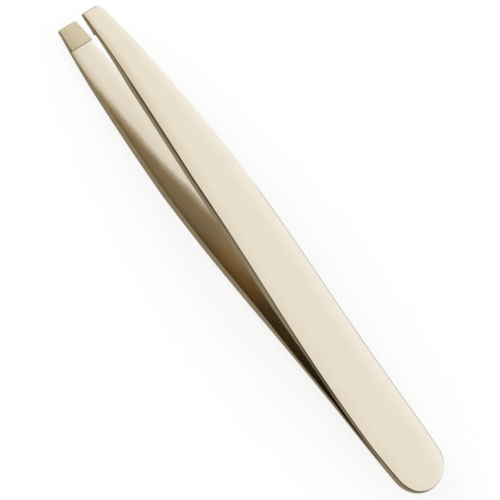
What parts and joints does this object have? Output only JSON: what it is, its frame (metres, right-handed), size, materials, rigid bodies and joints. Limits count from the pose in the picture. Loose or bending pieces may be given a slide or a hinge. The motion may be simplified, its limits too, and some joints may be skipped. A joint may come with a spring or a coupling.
{
  "type": "slant tweezers",
  "caption": "Slant tweezers: bowed spring arms joined face to face at a rounded butt, flexing shut until raised jaw pads meet at slightly slanted, chisel-wide tips.",
  "frame": {"origin": "middle of the bounding box, on the middle plane in which the jaws meet", "axes": "+X from the rounded butt to the tips, Y across the width with the longer corner of the tips at +Y, Z the way the arms open"},
  "size_m": [0.095, 0.0104, 0.012],
  "materials": {
    "satin_gold_steel": "satin, pale champagne gold, fine grain along the length",
    "ground_jaw": "finely ground across the width, a little darker and warmer than the arms",
    "weld_steel": "bare fused steel, out of sight"
  },
  "bodies": {
    "butt": {"upper_tang": "satin_gold_steel", "lower_tang": "satin_gold_steel", "spot_welds": "weld_steel", "seam_weld": "satin_gold_steel"},
    "upper": {"upper_arm": "satin_gold_steel", "upper_jaw_pad": "ground_jaw"},
    "lower": {"lower_arm": "satin_gold_steel", "lower_jaw_pad": "ground_jaw"}
  },
  "joints": [
    {"name": "upper_flex", "type": "hinge", "parent": "butt", "child": "upper", "pos_m": [-0.0255, 0, 0.00099], "axis": [0, 1, 0], "range_deg": [0, 3.38], "stiffness_Nm_per_rad": 1.3},
    {"name": "lower_flex", "type": "hinge", "parent": "butt", "child": "lower", "pos_m": [-0.0255, 0, -0.00099], "axis": [0, -1, 0], "range_deg": [0, 3.38], "stiffness_Nm_per_rad": 1.3}
  ],
  "couplings": [
    {"joint": "lower_flex", "follows": "upper_flex", "ratio": 1}
  ]
}
